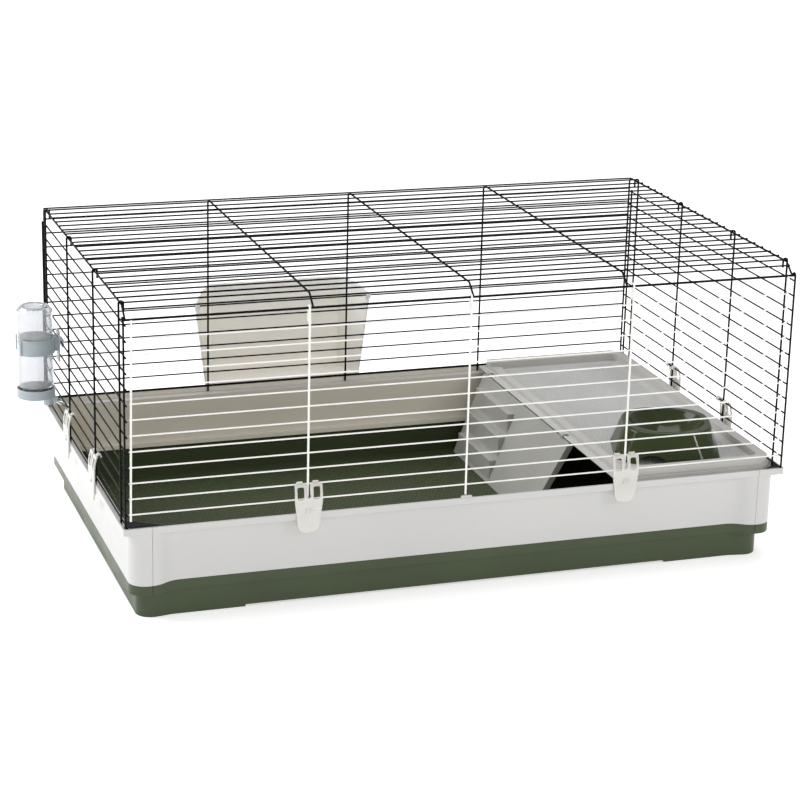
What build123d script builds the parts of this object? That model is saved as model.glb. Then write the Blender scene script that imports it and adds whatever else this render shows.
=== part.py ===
"""Wire-topped rabbit cage on a plastic base, modelled piece by piece.

Frame: origin at the centre of the base, on the floor. +X runs along the length
to the end with the platform, +Y to the back, +Z up. All sizes in millimetres.
"""
from build123d import *
import os
from math import atan2, cos, degrees, hypot, radians, sin, tan

# ---- Base: green tray and white surround walls ----
RIM_LENGTH = 1000.0          # outside of the overhanging lip
RIM_WIDTH = 600.0
RIM_TOP = 140.0
LIP_DROP = 9.5               # height of the lip's outer skirt
LIP_SKIN = 2.5
LIP_CORNER = 4.0
SHELF_TOP = RIM_TOP - LIP_DROP + LIP_SKIN     # shelf behind the lip that the panels stand on
BASE_HALF_LENGTH = 489.0     # outside of the walls
BASE_HALF_WIDTH = 298.0
MIDDLE_HALF_WIDTH = 283.0    # the long sides step in between their ends
STEP_OUTER_X = 451.5
STEP_INNER_X = 427.5
BASE_CORNER = 24.0
STEP_RADIUS = 36.0
BAND_TOP = 53.0              # tray's upper band, under the walls
BAND_BOTTOM = 38.3
FOOT_HALF_LENGTH = 476.5     # tray's lower body stands in under the band
FOOT_HALF_WIDTH = 282.5
FOOT_MIDDLE_HALF_WIDTH = 278.5
FOOT_CORNER = 22.0
TRAY_SKIN = 3.0
FLOOR_TOP = 5.0
FOOT_CLEARANCE = 3.0         # the long sides stand clear of the floor in the middle
FOOT_GAP_HALF = 322.0
FOOT_GAP_DEPTH = 45.0
WALL_SKIN = 2.5
LEDGE_HEIGHT = 6.0           # stiffening foot inside each wall
LEDGE_DEPTH = 8.0
SEAM_X = 459.0               # where the end walls meet the long walls
SEAM_GAP = 0.4
GROOVE_DEPTH = 0.6
KEEPER_X = -3.0              # small lug on the front lip
KEEPER_SIZE = (17.0, 2.2, 3.5)

# ---- Wire ----
RIB_R = 1.5                  # ribs and uprights
WIRE_R = 1.2                 # cross wires of the black panels
DOOR_WIRE_R = 1.05           # cross wires of the door
WELD = 0.35                  # how far crossing wires sink into each other
HOOK_GAP = 0.3               # play between a hook and the wire in it
HOOK_R = 2 * RIB_R + HOOK_GAP
HINGE_R = 1.7                # the wire that the door hangs on
HINGE_HOOK_R = RIB_R + HINGE_R + HOOK_GAP

ROOF_Z = 450.5
BACK_Y = 295.7
BEND_R = 8.0                 # rib bend between roof and back
CREASE_R = 6.0               # rib bend where the roof folds down
SLOPE_WIRE_SHARE = 0.35      # how far down the fold its cross wire lies
CREASE_Y = -272.5            # the roof folds down towards the hinge wire here
HINGE_Y = -292.2
HINGE_Z = 434.4
HINGE_HALF_LENGTH = 497.5
CROSS_HALF_LENGTH = 493.6
ROOF_PITCH = 25.77
ROOF_WIRES = 22
BACK_TOP_WIRE_Z = 432.2
BACK_PITCH = 22.28
BACK_WIRES = 14
PANEL_FOOT_Z = SHELF_TOP + 0.2
FOOT_WIRE_Z = RIM_TOP + 1.3  # lowest cross wire of the back and the sides

CLIP_WIRE_Z = 181.2          # the cross wire that every clip hangs on
CLIP_WIRE_INBOARD = 6.5      # from that wire to the lip's outer face
SIDE_TOP_WIRE_Z = 427.93
SIDE_PITCH = 22.43
SIDE_WIRES = 13
SIDE_UPRIGHTS_Y = (266.9, 94.6, -95.3, -267.8)
SIDE_BACK_Y = 291.9
SIDE_WIRE_END = 1.8          # cross wires run this far past the back upright
HOOK_TAIL = 10.0
EYE_SWEEP = 200.0            # the foremost upright curls this far round the hinge wire
CORNER_PLATES = {-1: (44.0, 30.0), 1: (19.0, 16.0)}    # reach along X and Y, left and right panel
CORNER_PLATE_SKIN = 1.0
SIDE_WIRE_X = RIM_LENGTH / 2 - CLIP_WIRE_INBOARD
SIDE_UPRIGHT_X = SIDE_WIRE_X + RIB_R + WIRE_R - WELD
END_RIB_X = SIDE_UPRIGHT_X - HOOK_R    # the side panels hook over the end ribs
MIDDLE_RIB_X = 232.2
RIB_X = (-END_RIB_X, -MIDDLE_RIB_X, 0.0, MIDDLE_RIB_X, END_RIB_X)

DOOR_PITCH = 22.65
DOOR_WIRES = 12
DOOR_FOOT_WIRE_Z = CLIP_WIRE_Z - DOOR_PITCH
DOOR_UPRIGHT_FOOT_Z = 150.0
DOOR_MIDDLE_FOOT_Z = RIM_TOP + KEEPER_SIZE[2] + 0.7
DOOR_UPRIGHTS = (            # x at the hinge, x at the foot
    (-485.0, -488.5), (-237.9, -237.9), (-3.8, -3.8), (241.3, 241.3), (485.0, 488.5))
DOOR_WIRE_END = 2.0          # cross wires run this far past the end uprights
DOOR_HOOK_TAIL = 20.0

# ---- Clips ----
CLIP_HALF_WIDTH = 20.0
CLIP_SKIN = 2.2
CLIP_FOOT_Z = 112.0
CLIP_STRAIGHT_TOP_Z = 160.0
CLIP_TOP_Z = 183.75
CLIP_BEND_R = 60.0
CLIP_STAND_OFF = 0.7         # from the lip's outer face
CLIP_BORE_R = WIRE_R + 0.35
CLIP_HOOK_SKIN = 2.2
CLIP_HOOK_ARC = (-25.0, 245.0)    # start and sweep of the rings round the wire
FINGER_X = 11.6
FINGER_WIDTH = 8.0
CLIP_FOOT_FILLET = 12.0
CLIP_WIDEST_Z = 156.0        # the outline narrows above and below
CLIP_WINDOW_Z = (160.5, 178.5)
CLIP_SLOT_FOOT_Z = 165.0
CLIP_WEDGE_Z = (139.0, 141.0, 153.0)
CLIP_WEDGE_RISE = 2.2
CLIP_WEDGE_HALF_WIDTH = 4.5
CLIP_SLOT = 4.6
NUB_TOP_Z = RIM_TOP - LIP_DROP - 0.7
NUB_REACH = 4.5
NUB_HALF_WIDTH = 9.0

# ---- Platform, ladder and bowl ----
PLATFORM_X = (231.5, 489.2)
PLATFORM_Y = (-289.0, 290.0)
PLATFORM_Z = RIM_TOP + 0.3
PLATFORM_SKIN = 2.7
PLATFORM_CORNERS = (26.0, 3.0)    # at the cage's end, beside the ladder
BASIN_CORNER = 12.0
PLATFORM_SKIRT_Z = SHELF_TOP + 0.3   # its edge reaches down to the shelf
BORDER_TOP_Z = 154.0
BORDER_FRONT = 18.0          # from the flange's edge to the basin
BORDER_BACK = 24.0
BORDER_END = 18.7
BORDER_SKIN = 2.5
BORDER_INSET = 3.5           # from the flange's edge to the border's outside
STEP_TOP_Z = 147.0           # lower border along the ladder side
STEP_X = (244.5, 260.5)
STEP_RIDGE = (1.6, 1.2)      # width and height of the ridges along the step
BEAD_R = 1.8                 # rounded edge that the ladder hooks over
LADDER_HOOKS_Y = (241.0, -84.0)
LADDER_HOOK_WIDTH = 9.0
LADDER_HOOK_HOLE = 6.6       # clear hole behind the bead
LADDER_HOOK_PLAY = 0.35
LADDER_HOOK_SKIN = 2.25
LADDER_HOOK_ARC = (-35.0, 245.0)
LADDER_Y = (-112.0, 259.0)
LADDER_TAPER = 38.0          # how much narrower the foot is, at the front
LADDER_FOOT = (180.5, FLOOR_TOP + 0.6)
LADDER_SKIN = 2.6
LADDER_FLANGE = 11.0
TREAD_Z = (120.5, 81.5, 44.0)
TREAD_DEPTH = 12.0
TREADS_Y = (97.0, 243.0)
BOWL_AT = (357.5, -183.5)
BOWL_TURN = -18.3
BOWL_BASE = (160.0, 150.0)
BOWL_TOP = (132.0, 128.0)
BOWL_HEIGHT = 46.0
BOWL_RADIUS = 57.0
BOWL_DEPTH = 34.0
BOWL_SKIN = 3.0
BOWL_CORNERS = (44.0, 50.0)  # at the foot, at the top
BOWL_BRIM_FILLET = 5.0
ARCH_CENTRE = -27.0
ARCH_SIZE = (44.0, 13.0)
ARCH_DEPTH = 14.0

# ---- Hay rack behind the back panel ----
RACK_CENTRE_X = -105.9
RACK_FRONT_Y = 299.7
RACK_BACK_Y = 354.0
RACK_FOOT_BACK_Y = 353.5
RACK_FOOT_Z = 142.5
RACK_FRONT_TOP_Z = 277.0
RACK_BACK_TOP_Z = 297.0
RACK_TOP_HALF = (150.0, 110.0)     # half lengths at the front and at the back
RACK_FOOT_HALF = (130.6, 110.0)
RACK_SKIN = 2.4
RACK_EDGE_CURVE = (0.45, 0.75)     # share of depth and of rise that the side's top edge passes
RACK_HOOK_INSET = 6.5
RACK_HOOK_SKIN = 2.0
RACK_HOOK_PLAY = 0.4
RACK_HOOK_HALF_WIDTH = 3.5
RACK_HOOK_LEGS = (4.0, 8.0)        # inside the cage, outside
RACK_HOOK_WIRE = 7                 # hangs on this cross wire of the back

# ---- Drinker on the left side ----
BOTTLE_X = -531.8
BOTTLE_Y = 177.0
BOTTLE_R = 27.0
BOTTLE_TOP_Z = 329.0
BOTTLE_SHOULDER_Z = 204.0
NECK_R = 17.5
NECK_FOOT_Z = 190.7
BOTTLE_SKIN = 2.0
BOTTLE_EDGE = (5.0, 6.0)           # slope at the closed end's outer edge
DIMPLE_R = (14.0, 17.0)            # its floor, its mouth
DIMPLE_DEPTH = 5.0
SHOULDER_DROP = 6.0
THREAD_TURNS = (2.0, 5.0)          # heights above the neck's foot
THREAD_WIRE_R = 1.0
HOLDER_Z = (256.5, 280.5)
HOLDER_SKIN = 2.6
HOLDER_GAP_HALF_ANGLE = 36.0
HOLDER_PLAY = 0.4
HOLDER_LIP_R = 1.9                 # rolled ends of the open ring
SADDLE_HALF_WIDTH = 7.0
BRACKET_Z = (240.5, 288.0)
BRACKET_WIDTH = 20.0
BRACKET_SKIN = 2.4
BRACKET_PLAY = 0.5                 # to the wire that it hooks over
BRACKET_TAIL = 8.0
HOLDER_WIRE = 7                    # hooks over this cross wire of the side
CAP_R = 29.2
CAP_Z = (186.5, 200.5)
CAP_SKIN = 2.0
CAP_COLLAR = (1.1, 3.2)            # its bore and its outside, past the neck's radius
CAP_COLLAR_HEIGHT = 9.0
OUTLET_R = 7.5
OUTLET_BORE_R = 3.0
SOCKET_SKIN = 2.0                  # sleeve round the tube's upper end
SOCKET_LENGTH = 9.0
WASHER_HEIGHT = 1.8
WASHER_BORE_R = 12.0
ELBOW = (-513.0, 171.5)      # x and lowest z of the outlet under the cap
TUBE_START = (-509.0, 181.0)
TUBE_TIP_X = -480.5
TUBE_SLOPE = radians(29.5)
TUBE_R = 4.0
TUBE_BORE_R = 2.9
TUBE_LIP = (1.2, 0.5)              # length and depth of the mouth's narrowing
BALL_R = 2.75
BALL_SHOW = 1.3                    # how far the ball stands out of the tube


# ---- Small helpers ----
def rod(start, end, radius):
    """Straight round wire between two points."""
    run = Vector(*end) - Vector(*start)
    return extrude(Plane(origin=start, z_dir=run) * Circle(radius), amount=run.length)


def bent_wire(centre, ring, radius, start_dir, axis, sweep):
    """Round wire bent about an axis, starting on the side that start_dir names."""
    plane = Plane(origin=centre, x_dir=start_dir, z_dir=axis)
    return plane * Torus(ring, radius, major_angle=sweep, align=None)


def welded(pieces):
    """One solid from wires that sink into each other where they cross."""
    return pieces[0] + pieces[1:]


def slab(face, low, high):
    """Straight wall of a plan outline between two heights."""
    return extrude(Pos(0, 0, low) * face, amount=high - low)


def block(x, y, z):
    """Box between low and high limits along each axis."""
    size = (x[1] - x[0], y[1] - y[0], z[1] - z[0])
    centre = ((x[0] + x[1]) / 2, (y[0] + y[1]) / 2, (z[0] + z[1]) / 2)
    return Pos(*centre) * Box(*size)


def ring_sector(inner, outer, start, sweep):
    """Flat C shape about the sketch origin, from angle start over sweep degrees."""
    end = start + sweep
    rim = CenterArc((0, 0), outer, start, sweep)
    bore = CenterArc((0, 0), inner, start, sweep)
    closing = [Line(rim @ 0, bore @ 0), Line(rim @ 1, bore @ 1)]
    return make_face([rim, closing[1], bore, closing[0]])


def stepped_outline(half_length, half_width, middle_half_width, corner):
    """Plan with rounded corners whose long sides step in between their ends."""
    def quarter(x_sign, y_sign):
        return [(x_sign * half_length, y_sign * half_width),
                (x_sign * STEP_OUTER_X, y_sign * half_width),
                (x_sign * STEP_INNER_X, y_sign * middle_half_width)]
    points = quarter(1, 1) + quarter(-1, 1)[::-1] + quarter(-1, -1) + quarter(1, -1)[::-1]
    plan = make_face(Polyline(*points, close=True))
    ends = [v for v in plan.vertices() if abs(v.X) > half_length - 1]
    plan = fillet(ends, corner)
    steps = [v for v in plan.vertices()
             if min(abs(abs(v.X) - STEP_OUTER_X), abs(abs(v.X) - STEP_INNER_X)) < 0.1]
    return fillet(steps, STEP_RADIUS)


def base_outline(inset=0.0):
    """Plan of the walls and of the tray's band."""
    plan = stepped_outline(BASE_HALF_LENGTH, BASE_HALF_WIDTH, MIDDLE_HALF_WIDTH, BASE_CORNER)
    return offset(plan, amount=-inset) if inset else plan


def foot_outline(inset=0.0):
    """Plan of the tray's lower body."""
    plan = stepped_outline(FOOT_HALF_LENGTH, FOOT_HALF_WIDTH, FOOT_MIDDLE_HALF_WIDTH, FOOT_CORNER)
    return offset(plan, amount=-inset) if inset else plan


# ---- Base ----
def make_tray():
    """Green tray with an upper band that the walls stand on."""
    ledge_top = BAND_BOTTOM + TRAY_SKIN
    tray = slab(foot_outline(), 0, ledge_top)
    tray += slab(base_outline(), BAND_BOTTOM, BAND_TOP)
    tray -= slab(foot_outline(TRAY_SKIN), FLOOR_TOP, ledge_top)
    tray -= slab(base_outline(TRAY_SKIN), ledge_top, BAND_TOP)
    for side in (-1, 1):
        edge = sorted((side * BASE_HALF_WIDTH, side * (BASE_HALF_WIDTH - FOOT_GAP_DEPTH)))
        tray -= block((-FOOT_GAP_HALF, FOOT_GAP_HALF), edge, (0, FOOT_CLEARANCE))
    core = slab(base_outline(GROOVE_DEPTH), BAND_BOTTOM, BAND_TOP)
    for side in (-1, 1):
        seam = (side * SEAM_X - SEAM_GAP, side * SEAM_X + SEAM_GAP)
        tray -= block(seam, (-BASE_HALF_WIDTH, BASE_HALF_WIDTH), (BAND_BOTTOM, BAND_TOP)) - core
    return tray


def make_walls():
    """White surround, cut into two long walls and two end walls with corners."""
    lip = RectangleRounded(RIM_LENGTH, RIM_WIDTH, LIP_CORNER)
    lip_inside = offset(lip, amount=-LIP_SKIN)
    inside = slab(base_outline(WALL_SKIN), BAND_TOP, RIM_TOP)
    walls = slab(base_outline(), BAND_TOP, RIM_TOP)
    walls += slab(lip, RIM_TOP - LIP_DROP, RIM_TOP)
    walls -= inside
    walls -= slab(lip_inside, SHELF_TOP, RIM_TOP)
    foot_top = BAND_TOP + LEDGE_HEIGHT
    walls += slab(base_outline(), BAND_TOP, foot_top) - slab(base_outline(LEDGE_DEPTH), BAND_TOP, foot_top)
    reach = RIM_LENGTH
    inner = SEAM_X - SEAM_GAP / 2
    outer = SEAM_X + SEAM_GAP / 2
    height = (0, RIM_TOP + 1)
    cuts = {
        "wall_front": block((-inner, inner), (-reach, 0), height),
        "wall_back": block((-inner, inner), (0, reach), height),
        "wall_left": block((-reach, -outer), (-reach, reach), height),
        "wall_right": block((outer, reach), (-reach, reach), height),
    }
    pieces = {name: walls & cut for name, cut in cuts.items()}
    pieces["wall_front"] += make_keeper()
    return pieces


def make_keeper():
    """Rounded lug that stands on the front lip, outside the door's middle wire."""
    width, thickness, height = KEEPER_SIZE
    lug = RectangleRounded(width, 2 * height, height * 0.7)
    outer_y = -(RIM_WIDTH / 2 - 0.5)
    face = Plane(origin=(KEEPER_X, outer_y, RIM_TOP), x_dir=(1, 0, 0), z_dir=(0, 1, 0)) * lug
    solid = extrude(face, amount=thickness)
    return solid - block((-RIM_LENGTH, RIM_LENGTH), (-RIM_WIDTH, RIM_WIDTH), (0, RIM_TOP - KEEPER_SIZE[1]))


# ---- Wire panels ----
def make_roof():
    """Roof ribs and cross wires, folded down at the front to the hinge wire."""
    stack = RIB_R + WIRE_R - WELD
    fall = atan2(ROOF_Z - HINGE_Z, CREASE_Y - HINGE_Y)
    setback = CREASE_R * tan(fall / 2)
    bend_y = CREASE_Y + setback
    slope_y = CREASE_Y - setback * cos(fall)
    slope_z = ROOF_Z - setback * sin(fall)
    pieces = [rod((-HINGE_HALF_LENGTH, HINGE_Y, HINGE_Z), (HINGE_HALF_LENGTH, HINGE_Y, HINGE_Z), HINGE_R)]
    for x in RIB_X:
        pieces.append(rod((x, BACK_Y - BEND_R, ROOF_Z), (x, bend_y, ROOF_Z), RIB_R))
        crease = (x, bend_y, ROOF_Z - CREASE_R)
        pieces.append(bent_wire(crease, CREASE_R, RIB_R, (0, 0, 1), (1, 0, 0), degrees(fall)))
        pieces.append(rod((x, slope_y, slope_z), (x, HINGE_Y, HINGE_Z), RIB_R))
    for index in range(1, ROOF_WIRES + 1):
        pieces.append(cross_wire(BACK_Y - ROOF_PITCH * index, ROOF_Z + stack))
    middle_y = CREASE_Y - SLOPE_WIRE_SHARE * (CREASE_Y - HINGE_Y)
    middle_z = ROOF_Z - SLOPE_WIRE_SHARE * (ROOF_Z - HINGE_Z)
    pieces.append(cross_wire(middle_y - stack * sin(fall), middle_z + stack * cos(fall)))
    return welded(pieces)


def cross_wire(y, z):
    """Black wire along the full length of the cage."""
    return rod((-CROSS_HALF_LENGTH, y, z), (CROSS_HALF_LENGTH, y, z), WIRE_R)


def make_back():
    """Back ribs, bent over at the top to carry on as the roof's ribs."""
    stack = RIB_R + WIRE_R - WELD
    bend_y = BACK_Y - BEND_R
    bend_z = ROOF_Z - BEND_R
    pieces = []
    for x in RIB_X:
        pieces.append(rod((x, BACK_Y, PANEL_FOOT_Z), (x, BACK_Y, bend_z), RIB_R))
        pieces.append(bent_wire((x, bend_y, bend_z), BEND_R, RIB_R, (0, 1, 0), (1, 0, 0), 90))
    corner = (BEND_R + stack) * cos(radians(45))
    pieces.append(cross_wire(bend_y + corner, bend_z + corner))
    for index in range(BACK_WIRES):
        pieces.append(cross_wire(BACK_Y + stack, BACK_TOP_WIRE_Z - BACK_PITCH * index))
    pieces.append(cross_wire(BACK_Y + stack, FOOT_WIRE_Z))
    return welded(pieces)


def side_wire_heights():
    """Heights of a side panel's cross wires, top to bottom."""
    return [SIDE_TOP_WIRE_Z - SIDE_PITCH * index for index in range(SIDE_WIRES)] + [FOOT_WIRE_Z]


def make_side(side):
    """Side panel; its uprights hook over the roof's end rib and the hinge wire."""
    def upright(y, top):
        return rod((side * SIDE_UPRIGHT_X, y, PANEL_FOOT_Z), (side * SIDE_UPRIGHT_X, y, top), RIB_R)

    pieces = []
    inside_x = side * (END_RIB_X - HOOK_R)
    for y in SIDE_UPRIGHTS_Y:
        pieces.append(upright(y, ROOF_Z))
        over = (side * END_RIB_X, y, ROOF_Z)
        pieces.append(bent_wire(over, HOOK_R, RIB_R, (side, 0, 0), (0, -side, 0), 180))
        pieces.append(rod((inside_x, y, ROOF_Z), (inside_x, y, ROOF_Z - HOOK_TAIL), RIB_R))
    pieces.append(upright(SIDE_BACK_Y, SIDE_TOP_WIRE_Z + 2 * WIRE_R))
    front_y = HINGE_Y - HINGE_HOOK_R
    eye = (side * SIDE_UPRIGHT_X, HINGE_Y, HINGE_Z)
    pieces.append(upright(front_y, HINGE_Z))
    pieces.append(bent_wire(eye, HINGE_HOOK_R, RIB_R, (0, -1, 0), (-1, 0, 0), EYE_SWEEP))
    for z in side_wire_heights():
        x = side * SIDE_WIRE_X
        pieces.append(rod((x, front_y - 2 * RIB_R, z), (x, SIDE_BACK_Y + SIDE_WIRE_END, z), WIRE_R))
    reach_x, reach_y = CORNER_PLATES[side]
    corner = (side * SIDE_WIRE_X, front_y - RIB_R / 2)
    inner_end = (corner[0] - side * reach_x, corner[1])
    back_end = (corner[0], corner[1] + reach_y)
    plate = Polyline(corner, inner_end, back_end, close=True)
    foot_z = FOOT_WIRE_Z - CORNER_PLATE_SKIN / 2
    pieces.append(slab(make_face(plate), foot_z, foot_z + CORNER_PLATE_SKIN))
    return welded(pieces)


# ---- Front door ----
def door_stack():
    """Distance between the door's uprights and its cross wires."""
    return RIB_R + DOOR_WIRE_R - WELD


def door_upright_x(upright, z):
    """Sideways place of one of the door's uprights at a height."""
    top, foot = upright
    return foot + (top - foot) * (z - DOOR_UPRIGHT_FOOT_Z) / (HINGE_Z - DOOR_UPRIGHT_FOOT_Z)


def make_door():
    """Ivory wire door that hangs from the hinge wire by hooks on its uprights."""
    wire_y = -(RIM_WIDTH / 2 - CLIP_WIRE_INBOARD)
    upright_y = wire_y - door_stack()
    tail_y = 2 * HINGE_Y - upright_y
    pieces = []
    for upright in DOOR_UPRIGHTS:
        middle = upright == DOOR_UPRIGHTS[2]
        foot = DOOR_MIDDLE_FOOT_Z if middle else DOOR_UPRIGHT_FOOT_Z
        top_x = upright[0]
        foot_x = door_upright_x(upright, foot)
        pieces.append(rod((foot_x, upright_y, foot), (top_x, upright_y, HINGE_Z), RIB_R))
        if upright in DOOR_UPRIGHTS[1:-1]:
            pieces.append(bent_wire((top_x, HINGE_Y, HINGE_Z), HINGE_Y - upright_y, RIB_R,
                                    (0, -1, 0), (-1, 0, 0), 180))
            pieces.append(rod((top_x, tail_y, HINGE_Z), (top_x, tail_y, HINGE_Z - DOOR_HOOK_TAIL), RIB_R))
    for index in range(DOOR_WIRES):
        z = DOOR_FOOT_WIRE_Z + DOOR_PITCH * index
        left = door_upright_x(DOOR_UPRIGHTS[0], z) - DOOR_WIRE_END
        right = door_upright_x(DOOR_UPRIGHTS[-1], z) + DOOR_WIRE_END
        pieces.append(rod((left, wire_y, z), (right, wire_y, z), DOOR_WIRE_R))
    return welded(pieces)


# ---- Clips ----
def clip_front():
    """Front outline of a clip: barrel-sided, rounded foot, two windows, a slot."""
    half = CLIP_HALF_WIDTH
    points = [(half, CLIP_TOP_Z + 1), (half, CLIP_WIDEST_Z), (0.72 * half, CLIP_FOOT_Z),
              (-0.72 * half, CLIP_FOOT_Z), (-half, CLIP_WIDEST_Z), (-half, CLIP_TOP_Z + 1)]
    plan = make_face(Polyline(*points, close=True))
    feet = [v for v in plan.vertices() if v.Y < CLIP_FOOT_Z + 1]
    plan = fillet(feet, CLIP_FOOT_FILLET)
    low, high = CLIP_WINDOW_Z
    for x in (-FINGER_X, FINGER_X):
        plan -= Pos(x, (low + high) / 2) * RectangleRounded(FINGER_WIDTH + 2.0, high - low, 3.0)
    plan -= Pos(0, CLIP_SLOT_FOOT_Z) * Circle(CLIP_SLOT / 2 + 0.6)
    slot_middle = CLIP_SLOT_FOOT_Z + CLIP_TOP_Z - CLIP_STRAIGHT_TOP_Z
    slot_height = slot_middle - CLIP_SLOT_FOOT_Z
    plan -= Pos(0, CLIP_SLOT_FOOT_Z + slot_height / 2) * Rectangle(CLIP_SLOT, slot_height)
    return plan


def make_clip():
    """Clip in its own frame: X along its wire, Y pointing away from the cage.

    Y = 0 is the lip's outer face; the wire runs through Y = -CLIP_WIRE_INBOARD.
    """
    middle = CLIP_STAND_OFF + CLIP_SKIN / 2
    turn = degrees(atan2(CLIP_TOP_Z - CLIP_STRAIGHT_TOP_Z, CLIP_BEND_R))
    profile = Pos(middle, (CLIP_FOOT_Z + CLIP_STRAIGHT_TOP_Z) / 2) * Rectangle(
        CLIP_SKIN, CLIP_STRAIGHT_TOP_Z - CLIP_FOOT_Z)
    arc = ring_sector(CLIP_BEND_R - CLIP_SKIN / 2, CLIP_BEND_R + CLIP_SKIN / 2, 0, turn)
    profile += Pos(middle - CLIP_BEND_R, CLIP_STRAIGHT_TOP_Z) * arc
    side_view = Plane(origin=(0, 0, 0), x_dir=(0, 1, 0), z_dir=(1, 0, 0))
    plate = extrude(side_view * profile, amount=CLIP_HALF_WIDTH, both=True)
    front_view = Plane(origin=(0, 0, 0), x_dir=(1, 0, 0), z_dir=(0, -1, 0))
    plate &= extrude(front_view * clip_front(), amount=30, both=True)
    hook = Pos(-CLIP_WIRE_INBOARD, CLIP_WIRE_Z) * ring_sector(
        CLIP_BORE_R, CLIP_BORE_R + CLIP_HOOK_SKIN, *CLIP_HOOK_ARC)
    fingers = extrude(side_view * hook, amount=FINGER_WIDTH / 2, both=True)
    clip = plate + [Pos(x, 0, 0) * fingers for x in (-FINGER_X, FINGER_X)]
    nub_points = [(middle, CLIP_FOOT_Z + 3), (CLIP_STAND_OFF - NUB_REACH, NUB_TOP_Z - 4),
                  (CLIP_STAND_OFF - NUB_REACH, NUB_TOP_Z), (middle, NUB_TOP_Z)]
    nub = extrude(side_view * make_face(Polyline(*nub_points, close=True)), amount=NUB_HALF_WIDTH, both=True)
    foot, ridge, top = CLIP_WEDGE_Z
    wedge_points = [(middle, foot), (CLIP_STAND_OFF + CLIP_SKIN + CLIP_WEDGE_RISE, ridge), (middle, top)]
    wedge_face = side_view * make_face(Polyline(*wedge_points, close=True))
    wedge = extrude(wedge_face, amount=CLIP_WEDGE_HALF_WIDTH, both=True)
    return clip + nub + wedge


def placed_clips():
    """The six clips: two on the door, two on each side panel."""
    clip = make_clip()
    half_length = RIM_LENGTH / 2
    half_width = RIM_WIDTH / 2
    front_left = DOOR_UPRIGHTS[1][0]
    front_right = DOOR_UPRIGHTS[3][0]
    back_y, front_y = SIDE_UPRIGHTS_Y[1], SIDE_UPRIGHTS_Y[2]
    places = {
        "clip_front_left": Pos(front_left, -half_width, 0) * Rot(0, 0, 180),
        "clip_front_right": Pos(front_right, -half_width, 0) * Rot(0, 0, 180),
        "clip_left_front": Pos(-half_length, front_y, 0) * Rot(0, 0, 90),
        "clip_left_back": Pos(-half_length, back_y, 0) * Rot(0, 0, 90),
        "clip_right_front": Pos(half_length, front_y, 0) * Rot(0, 0, -90),
        "clip_right_back": Pos(half_length, back_y, 0) * Rot(0, 0, -90),
    }
    return {name: place * clip for name, place in places.items()}


# ---- Platform and ladder ----
def platform_plan(inset=0.0):
    """Plan of the platform, with larger corners at the cage's end."""
    low_x, high_x = PLATFORM_X
    low_y, high_y = PLATFORM_Y
    plan = Pos((low_x + high_x) / 2, (low_y + high_y) / 2) * Rectangle(
        high_x - low_x - 2 * inset, high_y - low_y - 2 * inset)
    plan = fillet([v for v in plan.vertices() if v.X > high_x - inset - 1], PLATFORM_CORNERS[0] - inset)
    return fillet([v for v in plan.vertices() if v.X < low_x + inset + 1], PLATFORM_CORNERS[1])


def bead_axis():
    """Place of the rounded edge that the ladder hooks over, as x and z."""
    return PLATFORM_X[0] + BEAD_R, PLATFORM_Z + BEAD_R


def make_platform():
    """Raised shelf with a border on three sides and a low step beside the ladder."""
    floor_top = PLATFORM_Z + PLATFORM_SKIN
    platform = slab(platform_plan(), PLATFORM_Z, floor_top)
    inner_x = (PLATFORM_X[0] - BORDER_END, PLATFORM_X[1] - BORDER_END)
    inner_y = (PLATFORM_Y[0] + BORDER_FRONT, PLATFORM_Y[1] - BORDER_BACK)
    basin = Pos(sum(inner_x) / 2, sum(inner_y) / 2) * RectangleRounded(
        inner_x[1] - inner_x[0], inner_y[1] - inner_y[0], BASIN_CORNER)
    border = slab(platform_plan(BORDER_INSET), floor_top - 1, BORDER_TOP_Z)
    border -= slab(basin, floor_top - 1, BORDER_TOP_Z)
    border -= block((0, STEP_X[0]), (-RIM_WIDTH, RIM_WIDTH), (0, BORDER_TOP_Z))
    platform += border
    channel = slab(platform_plan(BORDER_INSET + BORDER_SKIN), PLATFORM_Z, BORDER_TOP_Z - BORDER_SKIN)
    channel -= slab(offset(basin, amount=BORDER_SKIN), PLATFORM_Z, BORDER_TOP_Z)
    channel -= block((0, STEP_X[0] + BORDER_SKIN), (-RIM_WIDTH, RIM_WIDTH), (0, BORDER_TOP_Z))
    platform -= channel
    skirt = slab(platform_plan(), PLATFORM_SKIRT_Z, PLATFORM_Z + 1)
    skirt -= slab(platform_plan(PLATFORM_SKIN), PLATFORM_SKIRT_Z, PLATFORM_Z + 1)
    platform += skirt - block((0, STEP_X[1]), (-RIM_WIDTH, RIM_WIDTH), (0, PLATFORM_Z))
    step_y = (inner_y[0] - 1, inner_y[1] + 1)
    platform += block(STEP_X, step_y, (floor_top - 1, STEP_TOP_Z))
    for x in STEP_X:
        ridge = (x - STEP_RIDGE[0] / 2, x + STEP_RIDGE[0] / 2)
        platform += block(ridge, step_y, (floor_top - 1, STEP_TOP_Z + STEP_RIDGE[1]))
    edge_x, edge_z = bead_axis()
    platform -= block((0, edge_x), (-RIM_WIDTH, RIM_WIDTH), (0, BORDER_TOP_Z))
    for y in LADDER_HOOKS_Y:
        reach = LADDER_HOOK_WIDTH / 2 + 2 * LADDER_HOOK_PLAY
        hole_x = (edge_x - 1, edge_x + BEAD_R + LADDER_HOOK_HOLE)
        platform -= block(hole_x, (y - reach, y + reach), (PLATFORM_Z - 1, floor_top + 1))
    return platform + rod((edge_x, PLATFORM_Y[0] + 3, edge_z), (edge_x, PLATFORM_Y[1] - 3, edge_z), BEAD_R)


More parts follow.
